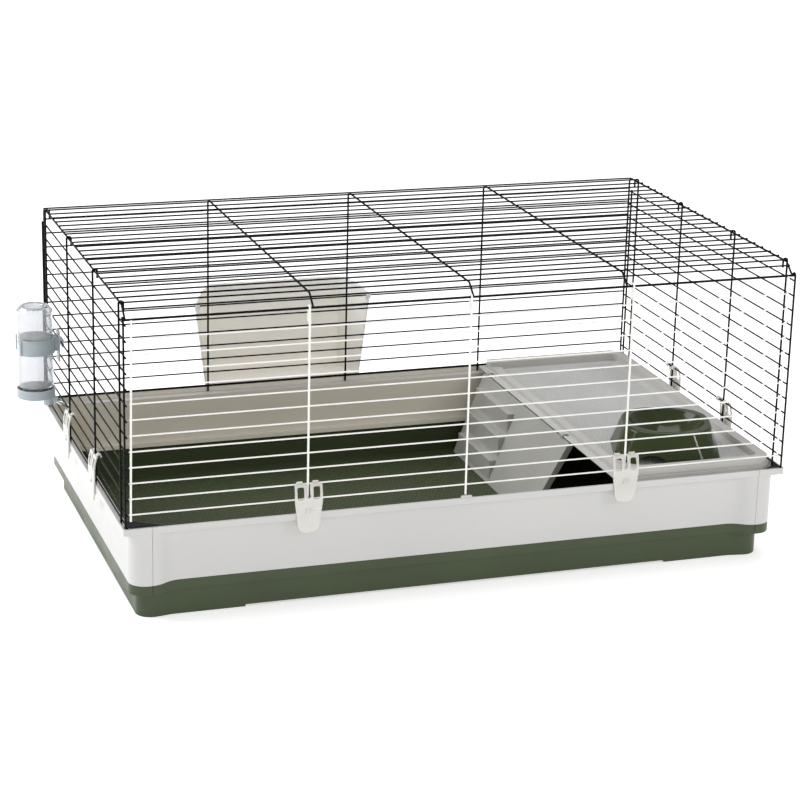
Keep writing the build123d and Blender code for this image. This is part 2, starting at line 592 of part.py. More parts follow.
def ladder_slope():
    """Top and foot of the ladder's face in the XZ plane, and its lean."""
    top = (PLATFORM_X[0] - 1.2, PLATFORM_Z - 1.0)
    lean = (top[0] - LADDER_FOOT[0]) / (top[1] - LADDER_FOOT[1])
    return top, LADDER_FOOT, lean


def stair_profile(shift=(0.0, 0.0)):
    """Side view of the treads standing out of the ladder's sloping face."""
    top, foot, lean = ladder_slope()
    points = [(top[0] + 1.0, top[1]), (top[0], top[1])]
    for z in TREAD_Z:
        face_x = top[0] - lean * (top[1] - z)
        points += [(face_x, z), (face_x - TREAD_DEPTH, z)]
        drop = TREAD_DEPTH / lean
        points.append((face_x - TREAD_DEPTH, max(z - drop, foot[1] + 0.2)))
    points += [(foot[0] + 1.0, foot[1])]
    moved = [(x + shift[0], z + shift[1]) for x, z in points]
    return make_face(Polyline(*moved, close=True))


def make_ladder():
    """Sloping face with edge flanges, a block of treads and two hooks on top."""
    top, foot, lean = ladder_slope()
    side_view = Plane(origin=(0, 0, 0), x_dir=(1, 0, 0), z_dir=(0, -1, 0))
    across = LADDER_SKIN * hypot(1, lean)

    def sloping(thickness_x, y):
        outline = [top, (top[0] + thickness_x, top[1]), (foot[0] + thickness_x, foot[1]), foot]
        face = side_view * make_face(Polyline(*outline, close=True))
        return Pos(0, y[1], 0) * extrude(face, amount=y[1] - y[0])

    ladder = sloping(across, LADDER_Y)
    ladder += sloping(LADDER_FLANGE, (LADDER_Y[1] - LADDER_SKIN, LADDER_Y[1]))
    treads = Pos(0, TREADS_Y[1], 0) * extrude(side_view * stair_profile(), amount=TREADS_Y[1] - TREADS_Y[0])
    hollow_y = (TREADS_Y[0] + LADDER_SKIN, TREADS_Y[1] - LADDER_SKIN)
    shift = (LADDER_SKIN, -LADDER_SKIN)
    hollow = extrude(side_view * stair_profile(shift), amount=hollow_y[1] - hollow_y[0])
    ladder = ladder + treads - Pos(0, hollow_y[1], 0) * hollow
    ladder = taper_ladder(ladder, sloping)
    edge_x, edge_z = bead_axis()
    bore = BEAD_R + LADDER_HOOK_PLAY
    hook = side_view * (Pos(edge_x, edge_z) * ring_sector(bore, bore + LADDER_HOOK_SKIN, *LADDER_HOOK_ARC))
    neck_x = (top[0] - 0.7, edge_x - bore)
    for y in LADDER_HOOKS_Y:
        reach = LADDER_HOOK_WIDTH / 2
        ladder += Pos(0, y, 0) * extrude(hook, amount=reach, both=True)
        ladder += block(neck_x, (y - reach, y + reach), (top[1] - 3, edge_z - 1))
    return ladder


def taper_ladder(ladder, sloping):
    """Cut the front edge on a slant and give it a flange along the cut."""
    top, foot, lean = ladder_slope()
    front = LADDER_Y[0]
    reach = 60.0

    def wedge(extra):
        """Everything in front of a slanted plane that runs inwards to the foot."""
        outline = [(front - reach, top[1] + 5), (front + extra, top[1] + 5),
                   (front + extra, top[1]), (front + LADDER_TAPER + extra, foot[1]),
                   (front + LADDER_TAPER + extra, foot[1] - 5), (front - reach, foot[1] - 5)]
        end_view = Plane(origin=(0, 0, 0), x_dir=(0, 1, 0), z_dir=(1, 0, 0))
        return extrude(end_view * make_face(Polyline(*outline, close=True)), amount=2 * PLATFORM_X[1])

    flange = sloping(LADDER_FLANGE, (front, front + LADDER_TAPER + LADDER_SKIN))
    flange = (flange & wedge(LADDER_SKIN)) - wedge(0.0)
    return (ladder - wedge(0.0)) + flange


# ---- Bowl ----
def make_bowl():
    """Rounded-square bowl with a round basin, a hollow foot and an arch at the front."""
    foot_corner, top_corner = BOWL_CORNERS
    base = RectangleRounded(*BOWL_BASE, foot_corner)
    top = Pos(0, 0, BOWL_HEIGHT) * RectangleRounded(*BOWL_TOP, top_corner)
    body = loft([base, top])
    body = fillet(body.edges().group_by(Axis.Z)[-1], BOWL_BRIM_FILLET)
    depth = BOWL_DEPTH
    round_r = (BOWL_RADIUS ** 2 + depth ** 2) / (2 * depth)
    basin = Pos(0, 0, BOWL_HEIGHT - depth + round_r) * Sphere(round_r)
    basin &= Pos(0, 0, BOWL_HEIGHT) * Cylinder(BOWL_RADIUS, 2 * depth)
    body -= basin
    taper = 2 * BOWL_SKIN + 2
    hollow = RectangleRounded(BOWL_BASE[0] - taper, BOWL_BASE[1] - taper, foot_corner - BOWL_SKIN)
    body -= extrude(hollow, amount=BOWL_HEIGHT - BOWL_DEPTH - BOWL_SKIN)
    arch_width, arch_height = ARCH_SIZE
    front = Plane(origin=(ARCH_CENTRE, 0, 0), x_dir=(1, 0, 0), z_dir=(0, -1, 0))
    arch = extrude(front * Ellipse(arch_width / 2, arch_height), amount=BOWL_BASE[1])
    reach_x, reach_y = BOWL_BASE
    arch_y = (-reach_y, ARCH_DEPTH - reach_y / 2)
    body -= arch & block((-reach_x, reach_x), arch_y, (-arch_height, arch_height))
    floor_top = PLATFORM_Z + PLATFORM_SKIN
    return Pos(BOWL_AT[0], BOWL_AT[1], floor_top + 0.3) * Rot(0, 0, BOWL_TURN) * body


# ---- Hay rack ----
def rack_plan(z, skin):
    """Plan of the rack at a height: splayed sides, open towards the cage."""
    share = (z - RACK_FOOT_Z) / (RACK_BACK_TOP_Z - RACK_FOOT_Z)
    front = RACK_FOOT_HALF[0] + share * (RACK_TOP_HALF[0] - RACK_FOOT_HALF[0]) - skin
    back = RACK_FOOT_HALF[1] + share * (RACK_TOP_HALF[1] - RACK_FOOT_HALF[1]) - skin
    back_y = RACK_FOOT_BACK_Y + share * (RACK_BACK_Y - RACK_FOOT_BACK_Y) - skin
    front_y = RACK_FRONT_Y - (1.0 if skin else 0.0)
    points = [(-front, front_y), (front, front_y), (back, back_y), (-back, back_y)]
    return Pos(RACK_CENTRE_X, 0, z) * make_face(Polyline(*points, close=True))


def make_rack():
    """Hay rack: a back, two splayed sides and a foot, hung on a back wire by hooks."""
    outer = loft([rack_plan(RACK_FOOT_Z, 0), rack_plan(RACK_BACK_TOP_Z, 0)])
    inner = loft([rack_plan(RACK_FOOT_Z + RACK_SKIN, RACK_SKIN), rack_plan(RACK_BACK_TOP_Z + 0.1, RACK_SKIN)])
    rack = outer - inner
    span = RACK_BACK_Y - RACK_FRONT_Y
    rise = RACK_BACK_TOP_Z - RACK_FRONT_TOP_Z
    along, up = RACK_EDGE_CURVE
    arc = ThreePointArc((RACK_FRONT_Y, RACK_FRONT_TOP_Z),
                        (RACK_FRONT_Y + along * span, RACK_FRONT_TOP_Z + up * rise),
                        (RACK_BACK_Y, RACK_BACK_TOP_Z - 0.5))
    low_y, high_y = RACK_FRONT_Y - 9.0, RACK_BACK_Y + 9.0
    top_z = RACK_BACK_TOP_Z + 9.0
    above = Polyline((RACK_BACK_Y, RACK_BACK_TOP_Z - 0.5), (high_y, RACK_BACK_TOP_Z - 0.5), (high_y, top_z),
                     (low_y, top_z), (low_y, RACK_FRONT_TOP_Z), (RACK_FRONT_Y, RACK_FRONT_TOP_Z))
    end_view = Plane(origin=(-RIM_LENGTH / 2, 0, 0), x_dir=(0, 1, 0), z_dir=(1, 0, 0))
    rack -= extrude(end_view * make_face([arc, above]), amount=RIM_LENGTH)
    wire_y = BACK_Y + RIB_R + WIRE_R - WELD
    wire_z = BACK_TOP_WIRE_Z - BACK_PITCH * RACK_HOOK_WIRE
    for side in (-1, 1):
        rack += rack_hook(RACK_CENTRE_X + side * (RACK_TOP_HALF[0] - RACK_HOOK_INSET), wire_y, wire_z)
    return rack


def rack_hook(x, wire_y, wire_z):
    """Hook from the rack's front edge, over the wire and down inside the cage."""
    bore = WIRE_R + RACK_HOOK_PLAY
    leg_y = bore + RACK_HOOK_SKIN / 2
    inner_leg, outer_leg = RACK_HOOK_LEGS
    side_view = Plane(origin=(x, wire_y, wire_z), x_dir=(0, 1, 0), z_dir=(1, 0, 0))
    shape = ring_sector(bore, bore + RACK_HOOK_SKIN, 0, 180)
    shape += Pos(-leg_y, -inner_leg / 2) * Rectangle(RACK_HOOK_SKIN, inner_leg)
    shape += Pos(leg_y, -outer_leg / 2) * Rectangle(RACK_HOOK_SKIN, outer_leg)
    return extrude(side_view * shape, amount=RACK_HOOK_HALF_WIDTH, both=True)


# ---- Drinker ----
def make_bottle():
    """Clear bottle, neck down, with a dimple in its closed end."""
    edge_in, edge_down = BOTTLE_EDGE
    floor_r, mouth_r = DIMPLE_R
    top = BOTTLE_TOP_Z
    skin = BOTTLE_SKIN
    profile = Polyline((0, top - DIMPLE_DEPTH), (floor_r, top - DIMPLE_DEPTH + skin), (mouth_r, top),
                       (BOTTLE_R - edge_in, top), (BOTTLE_R, top - edge_down), (BOTTLE_R, BOTTLE_SHOULDER_Z),
                       (NECK_R, BOTTLE_SHOULDER_Z - SHOULDER_DROP), (NECK_R, NECK_FOOT_Z))
    shoulder = BOTTLE_SHOULDER_Z + skin / 2
    inside = Polyline((NECK_R - skin, NECK_FOOT_Z), (NECK_R - skin, shoulder - SHOULDER_DROP),
                      (BOTTLE_R - skin, shoulder), (BOTTLE_R - skin, top - edge_down - skin / 2),
                      (BOTTLE_R - edge_in - skin * 0.7, top - skin), (mouth_r + skin * 0.7, top - skin),
                      (floor_r + skin * 0.7, top - DIMPLE_DEPTH), (0, top - DIMPLE_DEPTH - skin))
    outline = make_face([profile, Line(profile @ 1, inside @ 0), inside, Line(inside @ 1, profile @ 0)])
    body = revolve(Plane.XZ * outline, Axis.Z)
    for rise in THREAD_TURNS:
        body += Pos(0, 0, NECK_FOOT_Z + rise) * Torus(NECK_R - THREAD_WIRE_R / 3, THREAD_WIRE_R)
    return Pos(BOTTLE_X, BOTTLE_Y, 0) * body


def make_holder():
    """Springy open ring round the bottle, on a bracket that hooks over a side wire."""
    bore = BOTTLE_R + HOLDER_PLAY
    gap = HOLDER_GAP_HALF_ANGLE
    ring = slab(ring_sector(bore, bore + HOLDER_SKIN, 180 + gap, 360 - 2 * gap), *HOLDER_Z)
    for side in (-1, 1):
        angle = radians(180 + side * gap)
        lip_r = bore + HOLDER_SKIN + HOLDER_LIP_R / 3
        lip = Pos(lip_r * cos(angle), lip_r * sin(angle), sum(HOLDER_Z) / 2) * Cylinder(
            HOLDER_LIP_R, HOLDER_Z[1] - HOLDER_Z[0])
        ring += lip
    ring = Pos(BOTTLE_X, BOTTLE_Y, 0) * ring
    wire_z = SIDE_TOP_WIRE_Z - SIDE_PITCH * HOLDER_WIRE
    wire_x = -SIDE_WIRE_X
    clear = WIRE_R + BRACKET_PLAY
    plate_x = (wire_x - clear - BRACKET_SKIN, wire_x - clear)
    width = (BOTTLE_Y - BRACKET_WIDTH / 2, BOTTLE_Y + BRACKET_WIDTH / 2)
    plate = block(plate_x, width, BRACKET_Z)
    saddle_y = (BOTTLE_Y - SADDLE_HALF_WIDTH, BOTTLE_Y + SADDLE_HALF_WIDTH)
    saddle = block((BOTTLE_X + bore, plate_x[0] + 0.5), saddle_y, (HOLDER_Z[0] + 1, HOLDER_Z[1] - 1))
    saddle -= Pos(BOTTLE_X, BOTTLE_Y, sum(HOLDER_Z) / 2) * Cylinder(bore, 2 * HOLDER_Z[1] - 2 * HOLDER_Z[0])
    bridge_z = (wire_z + clear, wire_z + clear + BRACKET_SKIN)
    tail_x = (wire_x + clear, wire_x + clear + BRACKET_SKIN)
    bridge = block((plate_x[0], tail_x[1]), width, bridge_z)
    tail = block(tail_x, width, (wire_z - BRACKET_TAIL, bridge_z[1]))
    return ring + plate + saddle + bridge + tail


def tube_direction():
    """The drinking tube points into the cage and down."""
    return Vector(cos(TUBE_SLOPE), 0, -sin(TUBE_SLOPE))


def tube_tip():
    """Centre of the tube's open end."""
    start = Vector(TUBE_START[0], BOTTLE_Y, TUBE_START[1])
    return start + tube_direction() * ((TUBE_TIP_X - TUBE_START[0]) / cos(TUBE_SLOPE))


def make_cap():
    """Screw cap: a cup with an inner collar for the neck and an outlet below."""
    low, high = CAP_Z
    upwards = (Align.CENTER, Align.CENTER, Align.MIN)
    cup = Cylinder(CAP_R, high - low, align=upwards)
    cup -= Pos(0, 0, CAP_SKIN) * Cylinder(CAP_R - CAP_SKIN, high, align=upwards)
    collar = Cylinder(NECK_R + CAP_COLLAR[1], CAP_COLLAR_HEIGHT, align=upwards)
    collar -= Cylinder(NECK_R + CAP_COLLAR[0], 3 * CAP_COLLAR_HEIGHT)
    elbow_x, elbow_z = ELBOW
    outlet = Pos(elbow_x, BOTTLE_Y, elbow_z) * Cylinder(OUTLET_R, low + 1 - elbow_z, align=upwards)
    start = Vector(TUBE_START[0], BOTTLE_Y, TUBE_START[1])
    along = tube_direction()
    outlet += rod(start - along * 2, start + along * SOCKET_LENGTH, TUBE_R + SOCKET_SKIN)
    outlet -= block((elbow_x - CAP_R, elbow_x + CAP_R), (BOTTLE_Y - CAP_R, BOTTLE_Y + CAP_R), (low + 1, high))
    cap = Pos(BOTTLE_X, BOTTLE_Y, low) * (cup + collar) + outlet
    cap -= rod(start - along * 2, start + along * (SOCKET_LENGTH + 3), TUBE_R + 0.05)
    cap -= Pos(elbow_x, BOTTLE_Y, elbow_z + 5) * Cylinder(OUTLET_BORE_R, low, align=upwards)
    return cap


def make_tube():
    """Steel drinking tube with a narrowed mouth that keeps the ball in."""
    start = Vector(TUBE_START[0], BOTTLE_Y, TUBE_START[1])
    tip = tube_tip()
    along = tube_direction()
    tube = rod(start, tip, TUBE_R)
    lip_length, lip_depth = TUBE_LIP
    tube -= rod(start - along, tip - along * lip_length, TUBE_BORE_R)
    tube -= rod(tip - along * 3, tip + along * 3, TUBE_BORE_R - lip_depth)
    return tube


def make_ball():
    """Steel valve ball, just showing in the tube's mouth."""
    along = tube_direction()
    centre = tube_tip() - along * (BALL_R - BALL_SHOW + 1.5)
    return Pos(*centre) * Sphere(BALL_R)


def make_washer():
    """Rubber washer between the bottle's neck and the cap."""
    washer = Cylinder(NECK_R + 0.6, WASHER_HEIGHT, align=(Align.CENTER, Align.CENTER, Align.MIN))
    washer -= Cylinder(WASHER_BORE_R, 3 * WASHER_HEIGHT)
    return Pos(BOTTLE_X, BOTTLE_Y, CAP_Z[0] + CAP_SKIN) * washer


def build_nodes():
    """Every sub-part by node name."""
    nodes = {"tray": make_tray()}
    nodes.update(make_walls())
    nodes["roof_grille"] = make_roof()
    nodes["back_grille"] = make_back()
    nodes["side_grille_left"] = make_side(-1)
    nodes["side_grille_right"] = make_side(1)
    nodes["front_door"] = make_door()
    nodes.update(placed_clips())
    nodes["platform"] = make_platform()
    nodes["ladder"] = make_ladder()
    nodes["bowl"] = make_bowl()
    nodes["hay_rack"] = make_rack()
    nodes["bottle"] = make_bottle()
    nodes["bottle_holder"] = make_holder()
    nodes["bottle_cap"] = make_cap()
    nodes["cap_washer"] = make_washer()
    nodes["drinking_tube"] = make_tube()
    nodes["valve_ball"] = make_ball()
    return nodes


os.makedirs("parts", exist_ok=True)
for node_name, node_shape in build_nodes().items():
    export_step(node_shape, f"parts/{node_name}.step")
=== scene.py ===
"""Looks for the wire rabbit cage: procedural materials, fine moulded relief, studio light and camera.

All sizes are in metres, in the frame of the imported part: +X along the cage to the end with the
platform, +Y to the back, +Z up, the floor at z = 0.
"""

from math import cos, radians, sin

import bmesh
import bpy
from mathutils import Matrix, Vector


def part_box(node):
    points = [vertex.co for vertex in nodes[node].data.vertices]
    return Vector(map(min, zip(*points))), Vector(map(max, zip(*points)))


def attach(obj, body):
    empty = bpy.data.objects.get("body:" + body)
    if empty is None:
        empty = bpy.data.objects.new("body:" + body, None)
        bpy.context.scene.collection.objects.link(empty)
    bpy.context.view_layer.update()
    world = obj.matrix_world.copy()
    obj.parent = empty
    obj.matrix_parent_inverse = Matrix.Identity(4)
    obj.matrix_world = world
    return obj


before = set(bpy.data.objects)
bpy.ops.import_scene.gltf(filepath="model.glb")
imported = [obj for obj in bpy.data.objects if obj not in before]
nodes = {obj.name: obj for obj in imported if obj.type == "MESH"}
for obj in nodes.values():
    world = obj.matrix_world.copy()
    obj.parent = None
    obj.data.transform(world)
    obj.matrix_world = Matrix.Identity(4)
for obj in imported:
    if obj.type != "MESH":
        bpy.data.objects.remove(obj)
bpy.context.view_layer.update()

# ---- Colours, linear ----
TRAY_GREEN = (0.050, 0.067, 0.030)
WALL_WHITE = (0.580, 0.575, 0.562)
# painted shade: the walls' inside faces are the same white plastic, given this beige tone for their
# shaded look
INNER_SHADE_BEIGE = (0.820, 0.762, 0.655)
WIRE_BLACK = (0.0020, 0.0020, 0.0022)
WIRE_IVORY = (0.930, 0.915, 0.880)
CLIP_IVORY = (0.830, 0.810, 0.760)
PLATFORM_GREY = (0.550, 0.553, 0.537)
PLATFORM_BORDER = (0.530, 0.515, 0.485)
LADDER_GREY = (0.420, 0.420, 0.393)
BOWL_GREEN = (0.030, 0.042, 0.012)
RACK_TAUPE = (0.880, 0.855, 0.815)
DRINKER_GREY = (0.380, 0.440, 0.470)
BOTTLE_CLEAR = (0.900, 0.910, 0.930)
# painted shade: the tone the bottle is painted towards at its outline
BOTTLE_OUTLINE_SHADE = (0.420, 0.470, 0.500)
WASHER_BLACK = (0.030, 0.030, 0.030)
TUBE_STEEL = (0.620, 0.620, 0.630)
BALL_STEEL = (0.760, 0.760, 0.770)
FLOOR_PALE = (0.900, 0.900, 0.900)
STUDIO_WHITE = (1.0, 1.0, 1.0, 1.0)

# ---- Where a look changes on a piece ----
TRAY_FLOOR_TOP = 0.030              # the tray's upward faces below this are its floor
LEDGE_LIGHT_RISE = (0.053, 0.100)    # painted light: the walls' inside is painted lightest up to the first height, as light reflected at the ledge
PLATFORM_BORDER_FOOT = 0.1437       # the platform's border stands above this
RACK_LIGHT_RISE = (0.14, 0.30)            # painted light: the hay rack is painted lighter from the first height to the second, as light falls from above
FACES_UP = 0.6                      # least Z of an upward face's normal
FACES_IN = -0.1                     # see Look.turned_inwards

# ---- How light goes into the plastics ----
PLASTIC_IOR = 1.49
BOTTLE_IOR = 1.15                   # below the real one, as the wires behind it look hardly bent
MILKY_DEPTH = 0.006
MILKY_REACH = (1.0, 0.93, 0.80)     # share of that depth for red, green and blue

# ---- Fine surface texture ----
FLOW_STRETCH = (0.35, 1.0, 1.6)
GRAIN_DEPTH = 0.00003
FINE_GRAIN_DEPTH = 0.00001
WIRE_GRAIN_DEPTH = 0.00004
UNEVEN_DEPTH = 0.0004               # slow unevenness of moulded faces
WEAVE_PITCH_X = 0.0036
WEAVE_PITCH_Y = 0.0042
WEAVE_DEPTH = 0.00025
TREAD_LINE_PITCH = 0.0030
TREAD_LINE_DEPTH = 0.0003
BOTTLE_WAVE_DEPTH = 0.0006
BAND_LENGTH = 0.314                 # one band of Blender's wave texture at a scale of 1

# ---- Relief moulded into the plastic ----
TRAY_FLOOR_Z = 0.00501
TRAY_FLOOR_MARGIN = (0.034, 0.036)          # from the tray's ends, along X and Y
TRAY_RIB_PITCH = 0.0070
TRAY_RIB_SIZE = (0.0046, 0.0035, 0.00040)   # length, width and height
PLATFORM_FLOOR_Z = 0.14301
PLATFORM_FLOOR_START = (0.0365, 0.027)      # from the platform's lowest corner, along X and Y
PLATFORM_FLOOR_END = (0.0252, 0.032)        # from its highest corner
PLATFORM_RIB_PITCH = 0.0050
PLATFORM_RIB_SIZE = (0.0034, 0.0022, 0.00022)
RIB_STEP = 1.45                             # from one rib to the next in its row, in rib lengths
RIB_BEVEL = 0.3                             # in rib widths

# ---- Stage ----
AIR_STRENGTH = 0.52
FLOOR_GLOW = 0.52
FLOOR_SIDE = 60.0
FLOOR_DROP = 0.0005                 # keeps the stage floor clear of the tray's feet
CAGE_MIDDLE = (0.0, 0.0, 0.2)
WINDOW_AIM = (0.3, -0.1, 0.15)      # between the middle of the cage and the bowl
WINDOW_SIZE = (0.25, 0.70)

# ---- Camera ----
CAMERA_AT = (-1.13022, -3.29247, 1.31579)
CAMERA_YAW = 18.874                 # degrees from +Y towards +X
CAMERA_PITCH = -17.892              # degrees, up is positive
CAMERA_ROLL = 1.409                 # degrees
CAMERA_LENS = 107.591               # millimetres
CAMERA_SENSOR = 36.0                # millimetres
CAMERA_REACH = 200.0


# ---- Node helpers ----
class Look:
    """A material's node tree, with short calls for the nodes used here."""

    def __init__(self, name):
        self.material = bpy.data.materials.new(name)
        self.material.use_nodes = True
        self.tree = self.material.node_tree
        self.shader = self.tree.nodes["Principled BSDF"]
        coordinates = self.add("ShaderNodeTexCoord")
        self.place = coordinates.outputs["Object"]
        self.normal = coordinates.outputs["Normal"]

    def add(self, kind, **settings):
        node = self.tree.nodes.new(kind)
        for key, value in settings.items():
            setattr(node, key, value)
        return node

    def link(self, source, target):
        self.tree.links.new(source, target)

    def feed(self, name, source):
        """Links an output to one of the shader's inputs."""
        self.link(source, self.shader.inputs[name])

    def fix(self, name, value):
        """Sets one of the shader's inputs to a constant."""
        self.shader.inputs[name].default_value = value

    def noise(self, scale, detail=4.0):
        node = self.add("ShaderNodeTexNoise")
        node.inputs["Scale"].default_value = scale
        node.inputs["Detail"].default_value = detail
        node.inputs["Roughness"].default_value = 0.55
        self.link(self.place, node.inputs["Vector"])
        return node.outputs["Fac"]

    def stretched_noise(self, scale, stretch):
        """Noise drawn out along one axis, for brushed metal and flow marks."""
        mapping = self.add("ShaderNodeMapping")
        mapping.inputs["Scale"].default_value = stretch
        self.link(self.place, mapping.inputs["Vector"])
        node = self.add("ShaderNodeTexNoise")
        node.inputs["Scale"].default_value = scale
        node.inputs["Detail"].default_value = 3.0
        self.link(mapping.outputs["Vector"], node.inputs["Vector"])
        return node.outputs["Fac"]

    def wave(self, pitch, direction):
        """Even ridges across an axis, from 0 to 1."""
        node = self.add("ShaderNodeTexWave", wave_type="BANDS", bands_direction=direction)
        node.inputs["Scale"].default_value = BAND_LENGTH / pitch
        node.inputs["Distortion"].default_value = 0.0
        self.link(self.place, node.inputs["Vector"])
        return node.outputs["Fac"]

    def ranged(self, value, low, high, start=0.3, end=0.7):
        """Brings a value between start and end to one between low and high."""
        node = self.add("ShaderNodeMapRange")
        node.inputs["From Min"].default_value = start
        node.inputs["From Max"].default_value = end
        node.inputs["To Min"].default_value = low
        node.inputs["To Max"].default_value = high
        self.link(value, node.inputs["Value"])
        return node.outputs["Result"]

    def math(self, operation, first, second):
        node = self.add("ShaderNodeMath", operation=operation)
        for socket, value in zip(node.inputs, (first, second)):
            if isinstance(value, (int, float)):
                socket.default_value = value
            else:
                self.link(value, socket)
        return node.outputs[0]

    def tones(self, value, first, second, start=0.35, end=0.65):
        """Colour ramp between two tones."""
        node = self.add("ShaderNodeValToRGB")
        ramp = node.color_ramp
        ramp.elements[0].position = start
        ramp.elements[1].position = end
        ramp.elements[0].color = (*first, 1.0)
        ramp.elements[1].color = (*second, 1.0)
        self.link(value, node.inputs["Fac"])
        return node.outputs["Color"]

    def drift(self, value, colour, darker, lighter, start=0.35, end=0.65):
        """Colour ramp between a darker and a lighter shade of one colour."""
        return self.tones(value, shade(colour, darker), shade(colour, lighter), start, end)

    def mixed(self, share, first, second):
        """The second colour where the share is 1, the first where it is 0."""
        node = self.add("ShaderNodeMix", data_type="RGBA")
        self.link(share, node.inputs["Factor"])
        self.link(first, node.inputs["A"])
        self.link(second, node.inputs["B"])
        return node.outputs["Result"]

    def split(self, vector):
        """The X, Y and Z outputs of a vector."""
        node = self.add("ShaderNodeSeparateXYZ")
        self.link(vector, node.inputs["Vector"])
        return node.outputs

    def height(self):
        return self.split(self.place)["Z"]

    def turned_up(self):
        """1 where the surface faces up, 0 elsewhere."""
        return self.math("GREATER_THAN", self.split(self.normal)["Z"], FACES_UP)

    def turned_inwards(self):
        """1 where the surface faces the middle of the cage, 0 elsewhere.

        Y counts double, which keeps the steps at the walls' inner corners on the inside.
        """
        normal = self.split(self.normal)
        place = self.split(self.place)
        along_x = self.math("MULTIPLY", normal["X"], place["X"])
        along_y = self.math("MULTIPLY", normal["Y"], place["Y"])
        twice_y = self.math("ADD", along_y, along_y)
        return self.math("LESS_THAN", self.math("ADD", along_x, twice_y), FACES_IN)

    def rounded_edges(self, radius):
        node = self.add("ShaderNodeBevel", samples=4)
        node.inputs["Radius"].default_value = radius
        return node.outputs["Normal"]

    def bump(self, value, strength, depth, normal=None):
        node = self.add("ShaderNodeBump")
        node.inputs["Strength"].default_value = strength
        node.inputs["Distance"].default_value = depth
        self.link(value, node.inputs["Height"])
        if normal is not None:
            self.link(normal, node.inputs["Normal"])
        return node.outputs["Normal"]

    def tint(self, colour, spread):
        """Slow tone drift of a moulded piece."""
        self.feed("Base Color", self.drift(self.noise(5.0, 3.0), colour, 1 - spread, 1 + spread))

    def grain(self, scale, depth=GRAIN_DEPTH, edge=0.0008):
        """Softened edges, fine grain and slow unevenness."""
        normal = self.rounded_edges(edge)
        normal = self.bump(self.noise(scale, 2.0), 0.35, depth, normal)
        normal = self.bump(self.noise(22.0, 2.0), 0.12, UNEVEN_DEPTH, normal)
        self.feed("Normal", normal)

    def patterned_grain(self, pattern, strength, depth, scale, edge):
        """Softened edges, a moulded pattern and fine grain."""
        normal = self.bump(pattern, strength, depth, self.rounded_edges(edge))
        self.feed("Normal", self.bump(self.noise(scale, 2.0), 0.3, GRAIN_DEPTH, normal))


def shade(colour, factor):
    """A lighter or darker tone of a colour."""
    return tuple(min(1.0, channel * factor) for channel in colour)


def moulded(name, roughness, gloss=0.5, clear=0.0):
    """Moulded plastic with flow marks in its gloss; clear lets light into it."""
    look = Look(name)
    flow = look.stretched_noise(14.0, FLOW_STRETCH)
    look.feed("Roughness", look.ranged(flow, roughness - 0.05, roughness + 0.06))
    look.fix("IOR", PLASTIC_IOR)
    look.fix("Specular IOR Level", gloss)
    if clear:
        look.fix("Subsurface Weight", clear)
        look.fix("Subsurface Radius", MILKY_REACH)
        look.fix("Subsurface Scale", MILKY_DEPTH)
    return look


# ---- Looks ----
def tray_look():
    """Olive tray with a mottled floor."""
    look = moulded("tray_green", 0.36, gloss=0.35)
    look.grain(1300.0)
    outside = look.drift(look.noise(6.0, 3.0), TRAY_GREEN, 0.94, 1.08)
    floor = look.drift(look.noise(240.0, 4.0), TRAY_GREEN, 0.80, 1.10)
    low = look.math("LESS_THAN", look.height(), TRAY_FLOOR_TOP)
    on_floor = look.math("MULTIPLY", look.turned_up(), low)
    look.feed("Base Color", look.mixed(on_floor, outside, floor))
    return look.material


def wall_look():
    """Off-white surround; the faces turned to the inside get a painted beige shade tone, with painted
    reflected light making it lighter at the ledge.
    """
    look = moulded("wall_white", 0.34)
    look.grain(700.0)
    outside = look.drift(look.noise(3.5, 2.0), WALL_WHITE, 0.975, 1.02)
    # painted light: the inside is painted lighter towards the ledge, as light reflected there
    rise = look.ranged(look.height(), 0.0, 1.0, *LEDGE_LIGHT_RISE)
    # painted shade: the inside faces take the beige shade tone instead of the wall's own white
    inside = look.drift(rise, INNER_SHADE_BEIGE, 1.15, 1.0, 0.0, 1.0)
    look.feed("Base Color", look.mixed(look.turned_inwards(), outside, inside))
    look.fix("Coat Weight", 0.15)
    look.fix("Coat Roughness", 0.25)
    return look.material


def wire_look(name, colour, roughness, spread, gloss):
    """Powder-coated wire with a slight orange peel."""
    look = Look(name)
    look.feed("Base Color", look.drift(look.noise(60.0), colour, 1 - spread, 1 + spread))
    look.feed("Roughness", look.ranged(look.noise(160.0), roughness - 0.07, roughness + 0.08))
    look.feed("Normal", look.bump(look.noise(1500.0, 2.0), 0.4, WIRE_GRAIN_DEPTH))
    look.fix("Specular IOR Level", gloss)
    return look.material


def clip_look():
    """Milky, glossy nylon that lets some light through."""
    look = moulded("clip_ivory", 0.22, clear=0.35)
    look.tint(CLIP_IVORY, 0.03)
    look.grain(500.0, edge=0.0006)
    look.fix("Transmission Weight", 0.28)
    return look.material


def platform_look():
    """Pale grey floor with a woven grain inside a warmer border."""
    look = moulded("platform_grey", 0.40)
    weave = look.math("MULTIPLY", look.wave(WEAVE_PITCH_Y, "Y"), look.wave(WEAVE_PITCH_X, "X"))
    drift = look.noise(9.0, 3.0)
    speck = look.math("ADD", look.math("MULTIPLY", weave, 0.35), look.math("MULTIPLY", drift, 0.65))
    floor = look.drift(speck, PLATFORM_GREY, 0.90, 1.12, 0.25, 0.60)
    border = look.drift(drift, PLATFORM_BORDER, 0.96, 1.05)
    raised = look.math("GREATER_THAN", look.height(), PLATFORM_BORDER_FOOT)
    look.feed("Base Color", look.mixed(raised, floor, border))
    flat = look.math("SUBTRACT", 1.0, raised)
    floor_weave = look.math("MULTIPLY", weave, flat)
    look.patterned_grain(floor_weave, 0.55, WEAVE_DEPTH, scale=900.0, edge=0.0010)
    return look.material


